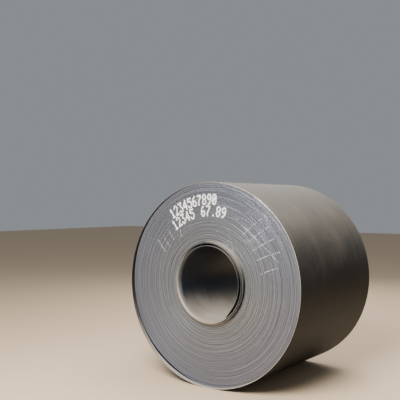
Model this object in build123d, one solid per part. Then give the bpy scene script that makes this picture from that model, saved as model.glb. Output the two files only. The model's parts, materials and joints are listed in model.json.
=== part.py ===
from build123d import *
from math import acos, cos, degrees, radians, sin, tan
import os

os.makedirs("parts", exist_ok=True)

# One coil of hot-rolled strip, lying on its side on a level floor.
# Its axis runs along Y. The front end faces -Y and the floor is at Z = 0.
# Lengths are in millimetres. Angles are in degrees, counter-clockwise from +X as seen from the front.

# The strip and the coil wound from it
strip_width = 1500
strip_thickness = 3
coil_diameter = 1970
mandrel_diameter = 762

# The eye that the mandrel left lies above the middle of the coil, whose turns are looser below it
eye_rise = 16

# The innermost turn has sprung in from the mandrel's size and leans to one side. Its free end is straight
bore_spring = 26
bore_lean = 3
bore_lean_angle = 155
bore_straight_angle = 323
bore_end_gap = 1.5
bore_ease = 72
bore_gap_opens = 338
bore_gap_narrows = 470
bore_gap_closes = 512

# The outermost turn has sprung out on one side, and its tail lies under the coil
tail_angle = 266
tail_gap = 0.6
tail_ease = 60
outer_gap = 15
outer_gap_starts = 212
outer_gap_ends = 264

# How far the turns stand out of the front end, and so how far they are sunk into the back one
outer_turn_lead = 25
outer_turn_tilt = 1.45
outer_turn_tilt_angle = 240
inner_turn_leads = [42, 38, 30]
inner_lead_turns = 2

# The turns between them are telescoped in bands, by a fast and a slow wave, in radians from band to band
band_turns = 16
fast_shift = 5
fast_wave = 2.4
slow_shift = 2
slow_wave = 0.9

coil_radius = coil_diameter / 2
core_radius = coil_radius - strip_thickness
mandrel_radius = mandrel_diameter / 2
bore_radius = mandrel_radius - bore_spring
turn_back_radius = bore_radius + strip_thickness
inner_lead_width = inner_lead_turns * strip_thickness
face_radius = mandrel_radius + inner_lead_width * len(inner_turn_leads)


def polar(radius, angle, centre=(0, 0)):
    """A point of the cross-section, seen from the front: X to the right and Z up."""
    return (centre[0] + radius * cos(radians(angle)), centre[1] + radius * sin(radians(angle)))


def along(angle):
    """The direction in which a circle runs, counter-clockwise, at an angle."""
    return polar(1, angle + 90)


def backwards(angle):
    """The direction in which a circle runs, clockwise, at an angle."""
    return polar(1, angle - 90)


eye_centre = (0, eye_rise)
bore_centre = polar(bore_lean, bore_lean_angle, eye_centre)


def round_arc(radius, start, end, centre=(0, 0)):
    """The part of a circle from one angle to a larger one."""
    middle = (start + end) / 2
    return ThreePointArc(*[polar(radius, angle, centre) for angle in (start, middle, end)])


def from_section(face, front, back):
    """A face of the cross-section, drawn in XY, as a solid that reaches from front to back along Y."""
    upright = Plane(origin=(0, front, 0), x_dir=(1, 0, 0), z_dir=(0, -1, 0))
    return extrude(upright * face, amount=-(back - front))


def bore_section():
    """The bore with the gap behind the innermost turn, whose straight free end stands in it."""
    corner_radius = mandrel_radius - bore_end_gap
    straight_span = acos(turn_back_radius / corner_radius)
    end_angle = bore_straight_angle - degrees(straight_span)
    straight_length = corner_radius * sin(straight_span)
    leaves_inside = polar(bore_radius, bore_straight_angle, bore_centre)
    leaves_outside = polar(turn_back_radius, bore_straight_angle, bore_centre)
    end_inside = polar(straight_length, bore_straight_angle - 90, leaves_inside)
    end_outside = polar(straight_length, bore_straight_angle - 90, leaves_outside)
    seat = polar(mandrel_radius, end_angle, bore_centre)
    ease_start = end_angle - bore_ease
    opens = polar(mandrel_radius, bore_gap_opens, eye_centre)
    narrows = polar(mandrel_radius, bore_gap_narrows, eye_centre)
    closes = polar(turn_back_radius, bore_gap_closes, bore_centre)
    edges = [
        round_arc(bore_radius, bore_straight_angle, ease_start + 360, bore_centre),
        TangentArc(polar(bore_radius, ease_start, bore_centre), seat, tangent=along(ease_start)),
        TangentArc(opens, seat, tangent=backwards(bore_gap_opens)),
        round_arc(mandrel_radius, bore_gap_opens, bore_gap_narrows, eye_centre),
        TangentArc(narrows, closes, tangent=along(bore_gap_narrows)),
        round_arc(turn_back_radius, bore_straight_angle, bore_gap_closes, bore_centre),
        Line(leaves_outside, end_outside),
        Line(end_outside, end_inside),
        Line(end_inside, leaves_inside),
    ]
    return make_face(Wire(edges))


def core_section():
    """All turns but the outermost, without the bore: flat where the outermost turn has sprung away."""
    gap_middle = (outer_gap_starts + outer_gap_ends) / 2
    flat = ThreePointArc(
        polar(core_radius, outer_gap_starts),
        polar(core_radius - outer_gap, gap_middle),
        polar(core_radius, outer_gap_ends),
    )
    return make_face(Wire([round_arc(core_radius, outer_gap_ends, outer_gap_starts + 360), flat]))


def outer_turn_section():
    """The outermost turn, from its tail round to where the turn below it takes over as the surface."""
    ease_end = tail_angle + tail_ease
    step_bottom = polar(core_radius - tail_gap, tail_angle)
    eased = TangentArc(polar(coil_radius, ease_end), step_bottom, tangent=backwards(ease_end))
    end_face = Line(polar(coil_radius, tail_angle), step_bottom)
    outline = make_face(Wire([round_arc(coil_radius, ease_end, tail_angle + 360), end_face, eased]))
    return outline - Circle(core_radius)


def bands():
    """Each band's outer radius, the height of its centre and how far it is shifted towards the back."""
    rings = []
    for number, lead in enumerate(inner_turn_leads, start=1):
        rings.append((mandrel_radius + number * inner_lead_width, eye_rise, -lead))
    count = max(3, round((core_radius - face_radius) / (band_turns * strip_thickness)))
    for number in range(count):
        share = (number + 1) / count
        radius = face_radius + share * (core_radius - face_radius)
        shift = fast_shift * sin(fast_wave * number) + slow_shift * cos(slow_wave * number)
        rings.append((radius, eye_rise * (1 - share), shift))
    return rings


def turned_core():
    """All turns but the outermost: bands of turns about the bore, each one strip width long."""
    section = core_section() - bore_section()
    coil = Part()
    inside = None
    for radius, rise, shift in bands():
        outline = Pos(0, rise) * Circle(radius)
        band = section & (outline - inside if inside else outline)
        coil += from_section(band, shift - strip_width / 2, shift + strip_width / 2)
        inside = outline
    return coil


def outermost_turn():
    """The outermost turn, which was wound slightly askew, so that its edges lie in two tilted planes."""
    slope = tan(radians(outer_turn_tilt))
    lean = polar(slope, outer_turn_tilt_angle)
    middle = Plane(origin=(0, -outer_turn_lead, 0), z_dir=(lean[0], 1, lean[1]))
    side = 3 * coil_diameter
    slab = extrude(middle * Rectangle(side, side), amount=strip_width / 2, both=True)
    return from_section(outer_turn_section(), -strip_width, strip_width) & slab


def on_the_floor(coil):
    """The coil with its middle over the origin and its lowest line at Z = 0."""
    box = coil.bounding_box()
    return Pos(-box.center().X, -box.center().Y, -box.min.Z) * coil


coil = on_the_floor(turned_core() + outermost_turn())
export_step(coil, "parts/steel_coil.step")
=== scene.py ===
import json
import math

import bpy
import numpy as np
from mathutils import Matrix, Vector, noise


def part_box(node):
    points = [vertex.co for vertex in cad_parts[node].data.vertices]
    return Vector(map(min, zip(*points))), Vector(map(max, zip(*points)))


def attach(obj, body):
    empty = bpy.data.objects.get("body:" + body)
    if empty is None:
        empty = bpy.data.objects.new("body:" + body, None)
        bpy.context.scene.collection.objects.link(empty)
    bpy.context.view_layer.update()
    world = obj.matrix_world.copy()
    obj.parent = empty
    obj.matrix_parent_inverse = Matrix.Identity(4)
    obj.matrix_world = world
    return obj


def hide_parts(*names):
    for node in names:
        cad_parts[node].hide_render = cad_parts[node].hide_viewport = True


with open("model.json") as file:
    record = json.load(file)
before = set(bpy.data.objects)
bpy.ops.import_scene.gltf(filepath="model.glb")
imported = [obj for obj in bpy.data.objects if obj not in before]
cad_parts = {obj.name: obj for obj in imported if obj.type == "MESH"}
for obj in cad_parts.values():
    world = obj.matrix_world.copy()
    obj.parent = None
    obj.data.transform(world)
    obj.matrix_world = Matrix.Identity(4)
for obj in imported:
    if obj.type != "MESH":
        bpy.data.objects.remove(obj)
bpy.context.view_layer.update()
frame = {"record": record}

# The coil's place in the frame. Lengths are in metres.
# Angles are in degrees, counter-clockwise from +X as seen from the front end, which faces -Y.
bore_mount = next(mount for mount in frame["record"]["mounts"] if mount["name"] == "bore")
low_corner, high_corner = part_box("steel_coil")
strip = 0.003
strip_width = bore_mount["dims"]["length_mm"] / 1000
coil_radius = (high_corner.x - low_corner.x) / 2
core_radius = coil_radius - strip
axis_z = high_corner.z - coil_radius
axis = Vector((0, 0, axis_z))

# The eye that the mandrel left lies above the middle of the coil, and the innermost turn lies loose in it
eye_rise = 0.016
eye = (0, eye_rise)
bore_radius = bore_mount["dims"]["r_mm"] / 1000
bore_centre = (bore_mount["pos_m"][0], bore_mount["pos_m"][2] - axis_z)
mandrel_radius = 0.381
bore_straight_angle = 323
bore_end_gap = 0.0015
bore_ease = 72
bore_gap_opens = 338
bore_gap_narrows = 470
bore_gap_closes = 512

# The outermost turn, its tail, and the gap where it has sprung away from the turn below
tail_angle = 266
tail_gap = 0.0006
tail_ease = 60
outer_gap = 0.015
outer_gap_starts = 212
outer_gap_ends = 264

# How far the turns stand out of the front end
innermost_lead = 0.042
outermost_lead = 0.025
outermost_slope = math.tan(math.radians(1.45))
outermost_tilt_angle = 240
middle_y = bore_mount["pos_m"][1] + innermost_lead

# The rings of proud turns round the eye: how many turns, the outer radius and how far they stand out
inner_rings = [(6, 0.387, 0.042), (2, 0.393, 0.038), (2, 0.399, 0.030)]
face_radius = inner_rings[-1][1]

# The telescoped bands of turns outside them, shifted by a fast and a slow wave
band_count = 12
fast_shift = 0.005
fast_wave = 2.4
slow_shift = 0.002
slow_wave = 0.9


def turned(point, angle):
    """A point or direction (x, z), turned counter-clockwise about the axis."""
    c = math.cos(math.radians(angle))
    s = math.sin(math.radians(angle))
    return (point[0] * c - point[1] * s, point[0] * s + point[1] * c)


class Circle:
    """A circle of the cross-section. Its centre is (x, z) from the coil's axis."""

    def __init__(self, radius, centre=(0, 0)):
        self.radius = radius
        self.centre = centre

    def point(self, angle):
        """The point at an angle about the circle's own centre."""
        x, z = turned((self.radius, 0), angle)
        return (self.centre[0] + x, self.centre[1] + z)

    def angle_of(self, point):
        """The angle of a point about the circle's own centre."""
        return math.degrees(math.atan2(point[1] - self.centre[1], point[0] - self.centre[0]))

    def reach(self, angle, origin=(0, 0)):
        """How far the circle is from an origin inside it, at an angle about that origin."""
        ahead, aside = turned((self.centre[0] - origin[0], self.centre[1] - origin[1]), -angle)
        return ahead + math.sqrt(self.radius**2 - aside**2)

    def grown(self, amount):
        return Circle(self.radius + amount, self.centre)

    def leaving(self, angle, point):
        """The circle that leaves this one smoothly at an angle and goes through a point."""
        x, z = turned((point[0] - self.centre[0], point[1] - self.centre[1]), -angle)
        shift = (x * x + z * z - self.radius**2) / (2 * (x - self.radius))
        dx, dz = turned((shift, 0), angle)
        return Circle(self.radius - shift, (self.centre[0] + dx, self.centre[1] + dz))


def circle_through(a, b, c):
    """The circle through three points."""
    rows = np.array([[2 * (b[0] - a[0]), 2 * (b[1] - a[1])], [2 * (c[0] - a[0]), 2 * (c[1] - a[1])]])
    sums = np.array([b[0] ** 2 + b[1] ** 2 - a[0] ** 2 - a[1] ** 2,
                     c[0] ** 2 + c[1] ** 2 - a[0] ** 2 - a[1] ** 2])
    centre = np.linalg.solve(rows, sums)
    return Circle(math.hypot(a[0] - centre[0], a[1] - centre[1]), tuple(centre))


def reaches(circle, angles, origin=(0, 0)):
    """How far a circle is from an origin inside it, at each of some angles."""
    return np.array([circle.reach(angle, origin) for angle in angles])


bore = Circle(bore_radius, bore_centre)
turn_back = bore.grown(strip)
mandrel = Circle(mandrel_radius, eye)
core = Circle(core_radius)
corner_radius = mandrel_radius - bore_end_gap
straight_span = math.acos(turn_back.radius / corner_radius)
straight_length = corner_radius * math.sin(straight_span)
bore_end_angle = bore_straight_angle - math.degrees(straight_span)
seat = Circle(mandrel_radius, bore_centre).point(bore_end_angle)
seat_circle = bore.leaving(bore_end_angle - bore_ease, seat)
opening_circle = mandrel.leaving(bore_gap_opens, seat)
closing_circle = mandrel.leaving(bore_gap_narrows, turn_back.point(bore_gap_closes))

# Points nearer to each other than this are merged, and edges flatter than this angle are shaded smooth
merge_distance = 0.00001
smooth_angle = 30


def open_for_edit(name):
    """Names the primitive that was just added, and opens it for editing with all of it selected."""
    piece = bpy.context.object
    piece.name = name
    piece.data.name = name
    bpy.ops.object.mode_set(mode="EDIT")
    bpy.ops.mesh.select_all(action="SELECT")
    return piece


def close_edit(piece):
    """Merges what meets, points the faces outwards and puts the object at the origin."""
    bpy.ops.mesh.select_all(action="SELECT")
    bpy.ops.mesh.remove_doubles(threshold=merge_distance)
    bpy.ops.mesh.normals_make_consistent(inside=False)
    bpy.ops.object.mode_set(mode="OBJECT")
    bpy.ops.object.transform_apply(location=True, rotation=True, scale=True)


def reshape(piece, rule):
    """Moves every point of a piece as the rule says, which takes and gives arrays of x, y and z."""
    points = np.zeros(len(piece.data.vertices) * 3)
    piece.data.vertices.foreach_get("co", points)
    x, y, z = points.reshape(-1, 3).T
    piece.data.vertices.foreach_set("co", np.stack(rule(x, y, z), axis=1).ravel())
    piece.data.update()


def smooth(piece):
    """Shades a piece smooth, apart from its sharp edges."""
    bpy.ops.object.select_all(action="DESELECT")
    bpy.context.view_layer.objects.active = piece
    piece.select_set(True)
    bpy.ops.object.shade_smooth_by_angle(angle=math.radians(smooth_angle))


# The turns as they show on the two ends: each turn is a narrow land between two fine grooves
turn_pitch = strip
groove_width = 0.12 * turn_pitch
groove_depth = 0.0009
wound_turns = round((core_radius - face_radius) / turn_pitch)
inner_turns = sum(count for count, radius, lead in inner_rings)
all_turns = inner_turns + wound_turns
end_steps = 150

# The turns outside this radius lie closer together where the outermost one has sprung away
crowding_starts = 0.90

# How far back the turns stand: the bands are nearly flat, and single turns and small groups are scattered
band_flattening = 0.22
band_ramp = 0.125
band_wander = 1.5
group_turns = 3
group_scatter = 0.0012
turn_scatter = 0.0005
turn_waver = 0.0010
noise_gain = 1.6
sunk_turns = 2
furthest_back = high_corner.y - middle_y - strip_width / 2


def waver(x, z, turn, around, across, seed):
    """Smooth noise, about -1 to 1, that runs long around the coil and short from turn to turn."""
    r = np.hypot(x, z)
    spots = np.stack([x / r * around + seed, turn * across, z / r * around - seed], axis=1)
    return np.array([noise.noise(spot) for spot in spots.tolist()]) * noise_gain


def band_shift(turn):
    """How far back a turn between the proud inner ones and the outermost stands."""
    number = np.clip(turn / (wound_turns / band_count), 0, band_count)
    here = np.minimum(np.floor(number), band_count - 1)
    following = np.minimum(here + 1, band_count - 1)
    ramp = np.clip(1 - (here + 1 - number) / band_ramp, 0, 1)

    def shift(band):
        return fast_shift * np.sin(fast_wave * band) + slow_shift * np.cos(slow_wave * band)

    return band_flattening * (shift(here) * (1 - ramp) + shift(following) * ramp)


def turn_shift(x, z, turn):
    """How far back each turn stands at each place around the coil."""
    loose = np.random.default_rng(7).normal(0, turn_scatter, all_turns + 1)
    group = np.random.default_rng(11).normal(0, group_scatter, all_turns // group_turns + 2)
    loose = loose + group[np.arange(all_turns + 1) // group_turns]
    wander = band_wander * waver(x, z, turn, around=1.3, across=0.03, seed=3.1)
    shift = band_shift(turn - inner_turns + wander)
    shift += turn_waver * waver(x, z, turn, around=1.1, across=0.13, seed=8.7)
    start = 0
    for count, radius, lead in inner_rings:
        shift = np.where((turn >= start) & (turn < start + count), -lead, shift)
        start += count
    shift = np.where((turn >= start) & (turn < start + sunk_turns), furthest_back, shift)
    shift = shift + loose[turn.astype(int)]
    return np.clip(shift, -innermost_lead, furthest_back)


def gap_of_core(angles):
    """How far the turns below the outermost one lie inside their circle, where it has sprung away."""
    middle = (outer_gap_starts + outer_gap_ends) / 2
    flat = circle_through(core.point(outer_gap_starts), core.grown(-outer_gap).point(middle),
                          core.point(outer_gap_ends))
    inside = (angles >= outer_gap_starts) & (angles <= outer_gap_ends)
    return np.where(inside, core_radius - reaches(flat, angles), 0)


def bore_reach(angles):
    """How far the wound turns' inner wall is from the middle of the eye, behind the innermost turn."""
    seat_angle = mandrel.angle_of(seat) % 360
    closing_angle = mandrel.angle_of(turn_back.point(bore_gap_closes)) % 360 + 360
    around = np.where(angles < bore_end_angle - bore_ease, angles + 360, angles)
    wall = reaches(seat_circle.grown(strip), around, eye)
    wall = np.where(around > seat_angle, reaches(opening_circle.grown(strip), around, eye), wall)
    wall = np.where(around > bore_gap_opens, mandrel_radius, wall)
    wall = np.where(around > bore_gap_narrows, reaches(closing_circle, around, eye), wall)
    return np.where(around > closing_angle, reaches(turn_back, around, eye), wall)


def turn_radius(angles, turn):
    """Where the edge of a turn lies: the first few lie closer where the innermost turn has sprung away."""
    first_count, first_end, lead = inner_rings[0]
    wall = bore_reach(angles)
    inner = wall + (first_end - wall) * turn / first_count
    pitch = (face_radius - first_end) / (inner_turns - first_count)
    middle = first_end + pitch * (turn - first_count)
    wound = face_radius + (core_radius - face_radius) * (turn - inner_turns) / wound_turns
    radius = np.where(turn < first_count, inner, np.where(turn < inner_turns, middle, wound))
    crowd = np.clip((radius - crowding_starts) / (core_radius - crowding_starts), 0, 1)
    return radius - gap_of_core(angles) * crowd * crowd


# A row of turns is first made evenly spaced from one radius, where a point near a seam is in both turns
flat_start = 0.3
seam_share = 0.01


def row_of_turns(name, side, first, count):
    """The profile of some turns at one end of the coil, each a narrow land between two sloped edges."""
    face_y = middle_y + side * strip_width / 2
    place = (flat_start + first * turn_pitch, face_y, axis_z)
    bpy.ops.object.select_all(action="DESELECT")
    bpy.ops.mesh.primitive_plane_add(size=turn_pitch, location=place)
    piece = open_for_edit(name)
    bpy.ops.mesh.merge(type="CENTER")
    land = turn_pitch - 2 * groove_width
    for right, out in ((groove_width, groove_depth), (land, 0), (groove_width, -groove_depth)):
        step = (right, side * out, 0)
        bpy.ops.mesh.extrude_region_move(TRANSFORM_OT_translate={"value": step})
    bpy.ops.object.mode_set(mode="OBJECT")
    row = piece.modifiers.new("turns", "ARRAY")
    row.count = count
    row.use_relative_offset = False
    row.use_constant_offset = True
    row.constant_offset_displace = (turn_pitch, 0, 0)
    row.use_merge_vertices = True
    row.merge_threshold = 2 * merge_distance
    bpy.ops.object.modifier_apply(modifier=row.name)
    return piece


def onto_the_end(side, raised=0):
    """The rule that moves the points of a row of turns, once it is spun, to where they lie on an end."""
    face_y = middle_y + side * strip_width / 2

    def rule(x, y, z):
        z = z - axis_z
        turn_place = (np.hypot(x, z) - flat_start) / turn_pitch
        angles = np.degrees(np.arctan2(z, x)) % 360
        inner = np.clip(np.floor(turn_place - seam_share), 0, all_turns - 1)
        outer = np.clip(np.floor(turn_place + seam_share), 0, all_turns - 1)
        proud = turn_shift(x, z, inner)
        beside = turn_shift(x, z, outer)
        lower = np.maximum(proud, beside) if side < 0 else np.minimum(proud, beside)
        radius = turn_radius(angles, turn_place)
        on_end = abs(y - face_y) < 2 * groove_depth
        on_face = y + side * (raised - groove_depth) + lower
        rise = eye_rise * np.clip(1 - (turn_place - inner_turns) / wound_turns, 0, 1)
        turned_x = radius * np.cos(np.radians(angles))
        turned_z = radius * np.sin(np.radians(angles)) + rise
        return turned_x, np.where(on_end, on_face, y), turned_z + axis_z

    return rule


def wound_end(name, side):
    """One end of the coil with the edge of each turn, and half of the outer and inner walls behind it.

    The side is -1 at the front and 1 at the back, where the turns are sunk that are proud at the front.
    """
    piece = row_of_turns(name, side, 0, all_turns)
    first = flat_start + groove_width / 2
    last = flat_start + all_turns * turn_pitch - groove_width / 2
    bpy.ops.object.mode_set(mode="EDIT")
    bpy.ops.mesh.select_all(action="DESELECT")
    bpy.ops.object.mode_set(mode="OBJECT")
    for corner in piece.data.vertices:
        across = (piece.matrix_world @ corner.co).x
        corner.select = across < first or across > last
    bpy.ops.object.mode_set(mode="EDIT")
    back = (0, -side * strip_width / 2, 0)
    bpy.ops.mesh.extrude_vertices_move(TRANSFORM_OT_translate={"value": back})
    bpy.ops.mesh.edge_face_add()
    bpy.ops.mesh.select_all(action="SELECT")
    bpy.ops.mesh.spin(steps=end_steps, angle=math.tau, center=axis, axis=(0, 1, 0))
    close_edit(piece)
    reshape(piece, onto_the_end(side))
    smooth(piece)
    return piece


# Paint and chalk are thin films that lie on the edges of the turns, cut to shape by small cells
film_height = 0.0004
film_cell = 0.003
film_margin = 0.022


def film_cells(name, radii, angles):
    """The turns between two radii and two angles as a patch of small cells, still evenly spaced."""
    pitch = (core_radius - face_radius) / wound_turns
    first, last = (inner_turns + round((radius - face_radius) / pitch) for radius in radii)
    span = math.radians(angles[1] - angles[0])
    steps = round(span * radii[1] / film_cell)
    piece = row_of_turns(name, -1, first, last - first)
    bpy.ops.object.mode_set(mode="EDIT")
    bpy.ops.mesh.select_all(action="SELECT")
    bpy.ops.transform.rotate(value=math.radians(angles[0]), orient_axis="Y", center_override=axis)
    bpy.ops.mesh.spin(steps=steps, angle=span, center=axis, axis=(0, 1, 0))
    close_edit(piece)
    return piece


def cut_to_shape(piece, inside):
    """Deletes the cells of a patch for which inside(x, z) is false, where they will lie on the front end."""
    centres = np.zeros(len(piece.data.polygons) * 3)
    piece.data.polygons.foreach_get("center", centres)
    x, y, z = centres.reshape(-1, 3).T
    place = np.hypot(x, z - axis_z)
    share = ((place - flat_start) / turn_pitch - inner_turns) / wound_turns
    radius = face_radius + share * (core_radius - face_radius)
    x = x / place * radius
    z = (z - axis_z) / place * radius + eye_rise * (1 - share)
    bpy.ops.object.mode_set(mode="EDIT")
    bpy.ops.mesh.select_mode(type="FACE")
    bpy.ops.mesh.select_all(action="DESELECT")
    bpy.ops.object.mode_set(mode="OBJECT")
    piece.data.polygons.foreach_set("select", ~inside(x, z))
    bpy.ops.object.mode_set(mode="EDIT")
    bpy.ops.mesh.delete(type="FACE")
    bpy.ops.object.mode_set(mode="OBJECT")


def film(name, radii, angles, inside):
    """A thin film on the front end, between two radii and two angles, which follows the edge of each turn.

    It is kept where inside(x, z) is true, from arrays of places in metres from the coil's axis.
    """
    margin = math.degrees(film_margin / radii[0])
    angles = (angles[0] - margin, angles[1] + margin)
    radii = (radii[0] - film_margin, radii[1] + film_margin)
    piece = film_cells(name, radii, angles)
    cut_to_shape(piece, inside)
    reshape(piece, onto_the_end(-1, film_height))
    bpy.ops.object.mode_set(mode="EDIT")
    bpy.ops.mesh.select_all(action="SELECT")
    into = (0, 2 * film_height, 0)
    bpy.ops.mesh.extrude_region_move(TRANSFORM_OT_translate={"value": into})
    bpy.ops.mesh.select_mode(type="VERT")
    close_edit(piece)
    return piece


def joined(pieces):
    """Several pieces as one, with the first one's name."""
    bpy.ops.object.select_all(action="DESELECT")
    for piece in pieces:
        piece.select_set(True)
    bpy.context.view_layer.objects.active = pieces[0]
    bpy.ops.object.join()
    return pieces[0]


# The painted number: plain counting digits, each sprayed as rows of dots that all but run together
digit_dots = {
    "0": ".###. #...# #..## #.#.# ##..# #...# .###.",
    "1": "..#.. .##.. ..#.. ..#.. ..#.. ..#.. .###.",
    "2": ".###. #...# ....# ...#. ..#.. .#... #####",
    "3": "##### ...#. ..#.. ...#. ....# #...# .###.",
    "4": "...#. ..##. .#.#. #..#. ##### ...#. ...#.",
    "5": "##### #.... ####. ....# ....# #...# .###.",
    "6": "..##. .#... #.... ####. #...# #...# .###.",
    "7": "##### ....# ...#. ..#.. .#... .#... .#...",
    "8": ".###. #...# #...# .###. #...# #...# .###.",
    "9": ".###. #...# #...# .#### ....# ...#. .##..",
    ".": "..... ..... ..... ..... ..... ..... ..#..",
}
digit_columns = 5
digit_rows = 7
digit_pitch = 0.0605
dot_column = 0.0089
dot_row = 0.0147
dot_radius = 0.0081
dot_scatter = 0.06

# Each row's digits, the radius of its feet and the angle of its left end
number_rows = [("1234567890", 0.774, 126.4), ("12345", 0.662, 129.6), ("67.89", 0.662, 98.8)]


def angle_in_row(foot_radius, left_angle, digit):
    """The angle at which the middle of a digit stands, counted from 0 at the left."""
    across = digit_columns // 2 * dot_column + dot_radius + digit * digit_pitch
    return left_angle - math.degrees(across / (foot_radius + digit_rows // 2 * dot_row))


def dots_of(digits, foot_radius, left_angle):
    """The places of a row of digits' dots. The row's feet face the eye, and it reads clockwise."""
    places = []
    for number, digit in enumerate(digits):
        angle = angle_in_row(foot_radius, left_angle, number)
        for row, dots in enumerate(digit_dots[digit].split()):
            for column, dot in enumerate(dots):
                if dot == "#":
                    outwards = foot_radius + (digit_rows - 1 - row) * dot_row
                    leftwards = (digit_columns // 2 - column) * dot_column
                    places.append(turned((outwards, leftwards), angle))
    return places


def painted_row(seed, digits, foot_radius, left_angle):
    """One row of the painted number. The sizes of its dots differ a little."""
    rng = np.random.default_rng(seed)
    places = dots_of(digits, foot_radius, left_angle)
    dots = [(x, z, dot_radius * rng.normal(1, dot_scatter)) for x, z in places]

    def in_a_dot(x, z):
        dotted = np.zeros(len(x), bool)
        for dot_x, dot_z, size in dots:
            dotted |= (x - dot_x) ** 2 + (z - dot_z) ** 2 < size * size
        return dotted

    radii = (foot_radius, foot_radius + (digit_rows - 1) * dot_row)
    angles = (angle_in_row(foot_radius, left_angle, len(digits)), left_angle)
    return film("painted_number", radii, angles, in_a_dot)


# The chalk: tally strokes, each from one radius and angle to another
chalk_width = 0.005
chalk_bow = 0.006
chalk_grain = 70
chalk_skips_above = 0.08
tally_strokes = [
    ((0.63, 52), (0.86, 48)),
    ((0.61, 44), (0.87, 41)),
    ((0.60, 35), (0.85, 33)),
    ((0.59, 26), (0.86, 24)),
    ((0.68, 56), (0.80, 18)),
    ((0.57, 13), (0.81, 15)),
    ((0.62, 152), (0.77, 148)),
    ((0.60, 145), (0.76, 142)),
    ((0.60, 137), (0.74, 135)),
    ((0.56, 128), (0.63, 125)),
]


def chalked_stroke(start, end):
    """One chalk stroke, slightly bowed. The chalk skips here and there."""
    a = np.array(turned((start[0], 0), start[1]))
    b = np.array(turned((end[0], 0), end[1]))
    length = np.hypot(*(b - a))
    along_x, along_z = (b - a) / length

    def on_the_stroke(x, z):
        along = (x - a[0]) * along_x + (z - a[1]) * along_z
        aside = (z - a[1]) * along_x - (x - a[0]) * along_z - chalk_bow * np.sin(math.pi * along / length)
        chalked = (abs(aside) < chalk_width / 2) & (along > 0) & (along < length)
        spots = np.stack([x[chalked], z[chalked]], axis=1) * chalk_grain
        chalked[chalked] = [noise.noise((*spot, 0)) < chalk_skips_above for spot in spots.tolist()]
        return chalked

    radii = sorted((start[0], end[0]))
    angles = sorted((start[1], end[1]))
    return film("chalk_tally", radii, angles, on_the_stroke)


# The two free turns are wound in steps of so many degrees, from a section with cuts along its length
strip_cuts = 12
outer_step = 2
inner_step = 3

# How far the outermost turn goes on under its tail, and the innermost one past the turn that covers it
hidden_outer_span = 34
hidden_inner_span = 20
hidden_inner_gap = 0.0004


def strip_section(name, circle, angle, y):
    """The strip's cross-section, ready to be wound on: it starts on a circle's outside at an angle."""
    x, z = circle.grown(strip / 2).point(angle)
    place = (x, y, axis_z + z)
    bpy.ops.object.select_all(action="DESELECT")
    bpy.ops.mesh.primitive_grid_add(x_subdivisions=1, y_subdivisions=strip_cuts, size=1, location=place)
    piece = open_for_edit(name)
    bpy.ops.transform.resize(value=(strip, strip_width, 1), center_override=place)
    bpy.ops.transform.rotate(value=math.radians(angle), orient_axis="Y", center_override=place)
    return piece


def wind(circle, start, end, step, shift):
    """Winds the selected cross-section on about a circle, from one angle to another.

    The shift says how far back the strip stands at an angle, and each step is slid along to it.
    """
    count = max(1, round(abs(end - start) / step))
    turn = (end - start) / count
    centre = (circle.centre[0], 0, axis_z + circle.centre[1])
    for number in range(count):
        before = start + number * turn
        bpy.ops.mesh.spin(steps=1, angle=math.radians(turn), center=centre, axis=(0, 1, 0))
        slide = shift(before + turn) - shift(before)
        bpy.ops.transform.translate(value=(0, slide, 0))


def outermost_shift(angle):
    """The outermost turn was wound slightly askew, so that its edges lie in two tilted planes."""
    tilted = outermost_slope * coil_radius * math.cos(math.radians(angle - outermost_tilt_angle))
    return -outermost_lead - tilted


def outermost_turn():
    """The outermost turn from its tail round to where it dips under the tail and slides back in line."""
    tail_seat = core.grown(-tail_gap - strip).point(tail_angle)
    ease_end = tail_angle + tail_ease
    dipping = core.leaving(ease_end, tail_seat)
    start = tail_angle + 360
    first = middle_y + outermost_shift(start)
    piece = strip_section("outermost_turn", core, start, first)
    wind(core, start, ease_end, outer_step, outermost_shift)
    from_angle = dipping.angle_of(core.point(ease_end))
    to_angle = dipping.angle_of(tail_seat)
    wind(dipping, from_angle, to_angle, outer_step, outermost_shift)
    sunk = Circle(math.hypot(*tail_seat))

    def sliding_back(angle):
        share = (tail_angle - angle) / hidden_outer_span
        back = share * share * (3 - 2 * share)
        return outermost_shift(angle) * (1 - back)

    wind(sunk, tail_angle, tail_angle - hidden_outer_span, outer_step, sliding_back)
    close_edit(piece)
    return piece


def innermost_turn():
    """The innermost turn from its straight free end round to where it passes behind it, into the coil."""

    def level(angle):
        return 0

    piece = strip_section("innermost_turn", bore, bore_straight_angle, middle_y - innermost_lead)
    x, z = turned((0, straight_length), bore_straight_angle)
    bpy.ops.transform.translate(value=(-x, 0, -z))
    bpy.ops.mesh.extrude_region_move(TRANSFORM_OT_translate={"value": (x, 0, z)})
    wind(bore, bore_straight_angle, bore_end_angle - bore_ease + 360, inner_step, level)
    from_angle = seat_circle.angle_of(bore.point(bore_end_angle - bore_ease))
    wind(seat_circle, from_angle, seat_circle.angle_of(seat), inner_step, level)
    start = opening_circle.angle_of(seat)
    end = opening_circle.angle_of(mandrel.point(bore_gap_opens))
    wind(opening_circle, start, end, inner_step, level)
    covered = mandrel.grown(hidden_inner_gap)
    wind(covered, bore_gap_opens, bore_gap_opens + hidden_inner_span, inner_step, level)
    close_edit(piece)
    return piece


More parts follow.
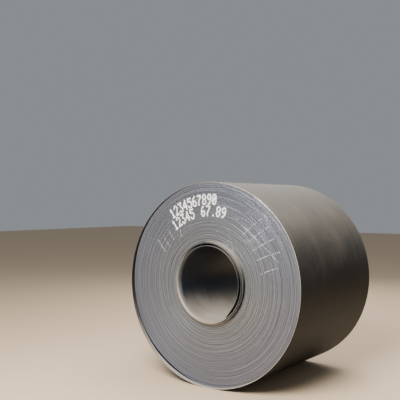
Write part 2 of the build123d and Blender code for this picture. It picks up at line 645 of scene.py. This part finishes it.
class Signal:
    """A socket of a finish. Sums and products of signals add the nodes that work them out."""

    def __init__(self, finish, socket):
        self.finish = finish
        self.socket = socket

    def math(self, operation, *values):
        return self.finish.node("ShaderNodeMath", {"operation": operation}, dict(enumerate(values)))

    def __add__(self, other):
        return self.math("ADD", self, other)

    def __radd__(self, other):
        return self.math("ADD", other, self)

    def __sub__(self, other):
        return self.math("SUBTRACT", self, other)

    def __rsub__(self, other):
        return self.math("SUBTRACT", other, self)

    def __mul__(self, other):
        return self.math("MULTIPLY", self, other)

    def __rmul__(self, other):
        return self.math("MULTIPLY", other, self)

    def __truediv__(self, other):
        return self.math("DIVIDE", self, other)

    def __rtruediv__(self, other):
        return self.math("DIVIDE", other, self)

    def __pow__(self, other):
        return self.math("POWER", self, other)

    def __abs__(self):
        return self.math("ABSOLUTE", self)

    def root(self):
        return self.math("SQRT", self)


class Finish:
    """A material that is built up by node. Its coordinates are metres from the middle of the coil's axis."""

    def __init__(self, name):
        self.material = bpy.data.materials.new(name)
        self.material.use_nodes = True
        self.tree = self.material.node_tree
        self.shader = self.tree.nodes["Principled BSDF"]
        place = self.node("ShaderNodeTexCoord", {}, {}, "Object")
        centred = self.node("ShaderNodeMapping", {}, {"Vector": place, "Location": (0, 0, -axis_z)})
        self.place = centred
        self.x, self.y, self.z = (self.node("ShaderNodeSeparateXYZ", {}, {"Vector": centred}, part)
                                  for part in "XYZ")
        self.radius = self.distance(0, 0)
        self.right = self.x / self.radius
        self.up = self.z / self.radius

    def node(self, kind, settings, values, output=0):
        """Adds a node, first its settings and then its sockets' values or links, and gives one output."""
        made = self.tree.nodes.new(kind)
        for name, setting in settings.items():
            setattr(made, name, setting)
        for socket, value in values.items():
            self.put(made.inputs[socket], value)
        return Signal(self, made.outputs[output])

    def put(self, socket, value):
        """Links a signal to a socket, or sets the socket to a value."""
        if isinstance(value, Signal):
            self.tree.links.new(value.socket, socket)
        else:
            socket.default_value = value

    def vector(self, x, y, z):
        return self.node("ShaderNodeCombineXYZ", {}, {"X": x, "Y": y, "Z": z})

    def noise(self, spot, scale, detail=2.0, rough=0.5):
        values = {"Vector": spot, "Scale": scale, "Detail": detail, "Roughness": rough}
        return self.node("ShaderNodeTexNoise", {}, values)

    def distance(self, x, z):
        """How far a place is from the line along Y through a point (x, z), measured from the axis."""
        aside = self.x - x
        above = self.z - z
        return (aside * aside + above * above).root()

    def around(self, turns, across, seed, shift=0.0):
        """A spot for noise that is slow with the angle, and quick with the distance from the axis."""
        return self.vector(self.right * turns + seed, self.radius * across + shift, self.up * turns - seed)

    def streaks(self, turns, across, seed):
        """Streaks round the coil, light and dark about 0, with no broad rings among them."""
        here = self.noise(self.around(turns, across, seed), 1.0, 1.0)
        beside = self.noise(self.around(turns, across, seed, 0.5), 1.0, 1.0)
        return here - beside

    def spread(self, value, low, high):
        """A value from low to high as a smooth 0 to 1, held there. Low may be the larger of the two."""
        values = {"Value": value, "From Min": low, "From Max": high}
        return self.node("ShaderNodeMapRange", {"clamp": True, "interpolation_type": "SMOOTHSTEP"}, values)

    def blend(self, mask, first, second):
        """One colour where the mask is 0 and another where it is 1."""
        settings = {"data_type": "RGBA"}
        return self.node("ShaderNodeMix", settings, {0: mask, 6: first, 7: second}, 2)

    def shade(self, colour, tone):
        """A colour made darker or lighter by a tone, where 1 leaves it."""
        tones = self.vector(tone, tone, tone)
        return self.node("ShaderNodeVectorMath", {"operation": "MULTIPLY"}, {0: colour, 1: tones})

    def bump(self, height, distance, strength, normal=None):
        """A normal raised by a height from 0 to 1, on top of another normal if one is given."""
        values = {"Height": height, "Distance": distance, "Strength": strength}
        if normal:
            values["Normal"] = normal
        return self.node("ShaderNodeBump", {}, values)

    def finish(self, **values):
        """Sets the shader's sockets, whose names are given in lower case, and gives the material."""
        for name, value in values.items():
            self.put(self.shader.inputs[name.replace("_", " ").title()], value)
        return self.material


def rgb(red, green, blue):
    return (red, green, blue, 1)


# The colours of the edges, and of what lies on them. The cream round the eye is partly dust and partly
# a painted highlight, the dark line among the turns there is painted shade, and the pale outer edge on the
# right is a painted highlight
grey_edge = rgb(0.198, 0.209, 0.225)
bluer_edge = rgb(0.183, 0.194, 0.230)
dusty_edge = rgb(0.31, 0.30, 0.29)
cream_ring_highlight = rgb(0.58, 0.53, 0.46)
painted_gap_shade = rgb(0.035, 0.034, 0.033)
rim_highlight = rgb(0.56, 0.52, 0.465)

# The radii at which they change: the first three are from the eye's middle, and the others from the axis
ring_fades = (face_radius + 0.001, face_radius - 0.002)
gap_shade_begins = (inner_rings[0][1] - 0.0035, inner_rings[0][1] - 0.002)
gap_shade_fades = (inner_rings[1][1] + 0.0005, inner_rings[1][1] - 0.001)
bluer_outwards = (0.45, 0.80)
rim_highlight_begins = (core_radius - 0.009, core_radius - 0.002)


def strip_edges():
    """The edges of the turns: fine concentric streaks, neutral grey inside and a little bluer outside.

    The turns round the eye are cream at the lower left, partly dust and partly a painted highlight,
    with a dark line of painted shade among them, and the coil's outer edge is painted pale on the right as a
    highlight.
    """
    f = Finish("strip_edges")
    grain = f.noise(f.around(turns=1.6, across=260, seed=3.0), scale=1.0, detail=3.0, rough=0.6)
    fine = f.streaks(turns=1.0, across=95, seed=17.0)
    middle = f.streaks(turns=0.8, across=40, seed=11.0)
    blotch = f.noise(f.place, scale=6.0, detail=4.0, rough=0.6)
    tone = 1 + fine * 1.5 + middle * 0.5 + (blotch - 0.5) * 0.15
    colour = f.blend(f.spread(f.radius, *bluer_outwards), grey_edge, bluer_edge)
    dust = f.spread(f.noise(f.around(turns=1.5, across=30, seed=31.0), scale=1.0, detail=3.0), 0.6, 0.75)
    colour = f.blend(dust * 0.25, colour, dusty_edge)
    from_eye = f.distance(*eye)
    # Painted highlight, partly dust: the proud turns round the eye are painted cream at the lower left
    ring_highlight = f.spread(from_eye, *ring_fades) * f.spread(f.up, 0.5, -0.5) * f.spread(f.right, 0.9, 0.1)
    colour = f.blend(ring_highlight * 0.95, colour, cream_ring_highlight)
    # Painted shade: a dark line among the proud turns round the eye, where shade falls between them
    gap_shade = f.spread(from_eye, *gap_shade_begins) * f.spread(from_eye, *gap_shade_fades)
    colour = f.blend(gap_shade * 0.85, colour, painted_gap_shade)
    # Painted highlight: the outermost turns are painted pale on the right, where light catches them
    rim_highlight_mask = f.spread(f.radius, *rim_highlight_begins) * f.spread(f.right, -0.6, 0.3)
    colour = f.blend(rim_highlight_mask * 0.85, colour, rim_highlight)
    rough = 0.34 + middle * 0.2 + dust * 0.12
    normal = f.bump(grain, distance=0.003, strength=0.8)
    return f.finish(base_color=f.shade(colour, tone), metallic=0.6, roughness=rough, normal=normal)


# What mill scale is rubbed and rusted to, how far the rubbing reaches,
# and where its dust and painted light fade into painted shade at a foot
rubbed_steel = rgb(0.26, 0.27, 0.29)
rust_brown = rgb(0.16, 0.085, 0.045)
rubbed_reach = 0.03
foot_shade_fade = 0.006


def mill_scale(name, oxide_and_shade, dust_and_light, low, high, rough=0.4, deepest=None, rubbed=0.0, gloss=0.5):
    """The strip's rolled surface: dark satin oxide, with pale dust where it faces up.

    Dust lies from low to high, which are heights of the surface's normal, and no deeper than a given y.
    The pale dust where it faces up is partly a painted highlight, and the dark oxide is partly painted
    shade;
    the foot below the given y is painted dark as shade.
    The scale can be rubbed to paler metal near the two ends.
    """
    f = Finish(name)
    facing = f.node("ShaderNodeNewGeometry", {}, {}, "Normal")
    upwards = f.node("ShaderNodeSeparateXYZ", {}, {"Vector": facing}, "Z")
    rolled = f.noise(f.vector(f.right * 2.2, f.y * 20, f.up * 2.2), scale=1.0, detail=3.0, rough=0.6)
    cloud = f.noise(f.place, scale=2.4, detail=5.0, rough=0.6)
    speck = f.noise(f.place, scale=60.0, detail=3.0, rough=0.65)
    # Painted light, partly dust: faces that point up take the pale colour, and the rest the dark oxide,
    # which also stands for shade
    dust_and_top_light = f.spread(upwards + (cloud - 0.5) * 0.35 + (rolled - 0.5) * 0.1, low, high) ** 1.5
    # Painted shade: below the deepest y the foot stays dark
    if deepest is not None:
        dust_and_top_light = dust_and_top_light * f.spread(f.y, deepest + foot_shade_fade, deepest)
    from_middle = abs(f.y - middle_y) + (rolled - 0.5) * 0.03
    near_end = f.spread(from_middle, strip_width / 2 - rubbed_reach, strip_width / 2 + rubbed_reach)
    colour = f.blend(near_end * rubbed, oxide_and_shade, rubbed_steel)
    colour = f.blend(dust_and_top_light, colour, dust_and_light)
    rust = f.spread(speck + (cloud - 0.5) * 0.6, 0.66, 0.78)
    colour = f.blend(rust * 0.3, colour, rust_brown)
    tone = 1 + (rolled - 0.5) * 0.25 + (speck - 0.5) * 0.25 + (cloud - 0.5) * 0.3
    rough = rough + dust_and_top_light * 0.25 + rust * 0.1
    normal = f.bump(speck, distance=0.0008, strength=0.35)
    normal = f.bump(cloud, distance=0.006, strength=0.4, normal=normal)
    f.shader.inputs["Specular IOR Level"].default_value = gloss
    return f.finish(base_color=f.shade(colour, tone), metallic=0.3, roughness=rough, normal=normal)


def outside_scale():
    """The coil's outside: nearly black underneath, painted shade, and grey dust on top, partly painted
    light.
    """
    # Painted shade: the nearly black colour stands for shade on the coil's lower side; the pale top is
    # partly a painted highlight
    oxide_and_shade = rgb(0.009, 0.010, 0.010)
    dust_and_light = rgb(0.150, 0.136, 0.118)
    return mill_scale("outside_scale", oxide_and_shade, dust_and_light, low=-0.1, high=0.8, rough=0.55, gloss=0.2)


def worn_scale():
    """The sides of the proud turns round the eye: cream dust where they face up, partly a painted highlight,
    and dark scale elsewhere, partly painted shade.
    """
    # Painted light and shade: cream where the sides face up, partly dust, and dark elsewhere as a line of
    # shade
    oxide_and_shade = rgb(0.02, 0.019, 0.018)
    dust_and_light = rgb(0.47, 0.41, 0.33)
    return mill_scale("worn_scale", oxide_and_shade, dust_and_light, low=-0.2, high=0.9)


def inside_scale():
    """The bore: bluish black above, painted shade; cream dust below, partly painted light; paler near its
    ends.
    """
    # Painted shade above and a painted pool of light below, partly dust, in the bore
    oxide_and_shade = rgb(0.015, 0.019, 0.027)
    dust_and_light = rgb(0.46, 0.40, 0.33)
    return mill_scale("inside_scale", oxide_and_shade, dust_and_light, low=0.15, high=1.1, rubbed=0.8)


def slot_scale():
    """The outermost turn's inner side. Dust, partly painted light, lies where it stands proud; its foot is
    painted shade.
    """
    oxide_and_shade = rgb(0.010, 0.010, 0.011)
    dust_and_light = rgb(0.50, 0.43, 0.38)
    # Painted shade: the foot, next to the front end, is left dark
    shaded_foot = 0.010
    front_face_y = middle_y - strip_width / 2
    return mill_scale("slot_scale", oxide_and_shade, dust_and_light, low=0.0, high=0.95, deepest=front_face_y - shaded_foot)


def white_paint():
    """Sprayed marking paint, chalky and a little worn."""
    f = Finish("white_paint")
    fresh = rgb(0.95, 0.95, 0.93)
    thin = rgb(0.50, 0.50, 0.51)
    worn = f.spread(f.noise(f.place, scale=45.0, detail=3.0, rough=0.6), 0.5, 0.72)
    colour = f.blend(worn * 0.2, fresh, thin)
    return f.finish(base_color=colour, roughness=0.6 + worn * 0.15)


def chalk():
    """Grey-white chalk, rubbed thin."""
    f = Finish("chalk")
    thin = rgb(0.26, 0.26, 0.27)
    thick = rgb(0.66, 0.65, 0.64)
    rubbed = f.noise(f.place, scale=80.0, detail=3.0, rough=0.7)
    colour = f.blend(rubbed, thin, thick)
    return f.finish(base_color=colour, roughness=0.8 + rubbed * 0.1)


# How much a face of the two ends points along Y, and how far past the proud turns their steps can reach
end_facing = 0.5
step_reach = 0.02

# The order in which a piece holds its finishes
on_ends, on_outside, on_inside, on_steps = range(4)


def dress(piece, ends, outside, inside):
    """Gives the ends of the turns one finish, and the walls others where they face outwards and inwards."""
    for finish in (ends, outside, inside):
        piece.data.materials.append(finish)
    for face in piece.data.polygons:
        away = face.normal.x * face.center.x + face.normal.z * (face.center.z - axis_z)
        on_wall = on_outside if away > 0 else on_inside
        face.material_index = on_ends if abs(face.normal.y) > end_facing else on_wall


def dress_steps(piece, round_eye):
    """Finishes the low steps between the turns as edges, and the tall ones round the eye with painted light
    and shade.
    """
    piece.data.materials.append(round_eye)
    for face in piece.data.polygons:
        from_end = strip_width / 2 - abs(face.center.y - middle_y)
        near_eye = math.hypot(face.center.x, face.center.z - axis_z - eye_rise) < face_radius + step_reach
        if from_end < innermost_lead + step_reach:
            tall = near_eye and face.material_index == on_outside
            face.material_index = on_steps if tall else on_ends


# The pieces of the coil
front_end = wound_end("front_turns", -1)
back_end = wound_end("back_turns", 1)
outer_turn = outermost_turn()
inner_turn = innermost_turn()
painted_number = joined([painted_row(seed, *row) for seed, row in enumerate(number_rows)])
chalk_tally = joined([chalked_stroke(start, end) for start, end in tally_strokes])

# Their finishes
edge_finish = strip_edges()
outside_finish = outside_scale()
step_light_finish = worn_scale()
inside_finish = inside_scale()
slot_finish = slot_scale()
for piece in (front_end, back_end):
    dress(piece, edge_finish, outside_finish, inside_finish)
    dress_steps(piece, step_light_finish)
for piece, inner_side in ((outer_turn, slot_finish), (inner_turn, inside_finish)):
    smooth(piece)
    dress(piece, edge_finish, outside_finish, inner_side)
painted_number.data.materials.append(white_paint())
chalk_tally.data.materials.append(chalk())

for piece in (front_end, back_end, outer_turn, inner_turn, painted_number, chalk_tally):
    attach(piece, "root")
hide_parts("steel_coil")

# Stage: a plain pale floor and soft studio light
bpy.ops.object.select_all(action="DESELECT")
bpy.ops.mesh.primitive_plane_add(size=60, location=(0, 0, 0))
floor = bpy.context.object
floor.name = "floor"
floor_finish = bpy.data.materials.new("pale_floor")
floor_finish.use_nodes = True
floor_shader = floor_finish.node_tree.nodes["Principled BSDF"]
floor_shader.inputs["Base Color"].default_value = (0.68, 0.51, 0.33, 1)
floor_shader.inputs["Roughness"].default_value = 0.8
floor.data.materials.append(floor_finish)

world = bpy.data.worlds.new("studio")
world.use_nodes = True
world.node_tree.nodes["Background"].inputs["Color"].default_value = (0.75, 0.80, 0.86, 1)
world.node_tree.nodes["Background"].inputs["Strength"].default_value = 0.35
bpy.context.scene.world = world


def soft_light(name, place, target, size, power, colour):
    """A square studio light that faces a point."""
    light = bpy.data.lights.new(name, "AREA")
    light.size = size
    light.energy = power
    light.color = colour
    lamp = bpy.data.objects.new(name, light)
    lamp.location = place
    lamp.rotation_euler = (Vector(target) - Vector(place)).to_track_quat("-Z", "Y").to_euler()
    bpy.context.scene.collection.objects.link(lamp)


soft_light("key_light", (0.9, -5.2, 5.0), (0, -0.5, 0.9), 3.2, 1000, (1.0, 0.985, 0.965))
soft_light("back_light", (-2.2, 5.6, 4.6), (0, 0.7, 0.9), 4.0, 200, (1.0, 0.99, 0.98))
soft_light("top_light", (0.8, 1.5, 6.0), (0, 0.3, 0.9), 4.0, 260, (1.0, 0.98, 0.95))

# Camera, at the photograph's angle
camera_data = bpy.data.cameras.new("camera")
camera = bpy.data.objects.new("camera", camera_data)
bpy.context.scene.collection.objects.link(camera)
bpy.context.scene.camera = camera
yaw = math.radians(36.98)
pitch = math.radians(0.2)
camera_data.lens = 58.5
camera.location = (3.677, -5.770, 1.771)
forward = Vector((-math.sin(yaw) * math.cos(pitch), math.cos(yaw) * math.cos(pitch), math.sin(pitch)))
camera.rotation_euler = forward.to_track_quat("-Z", "Y").to_euler()
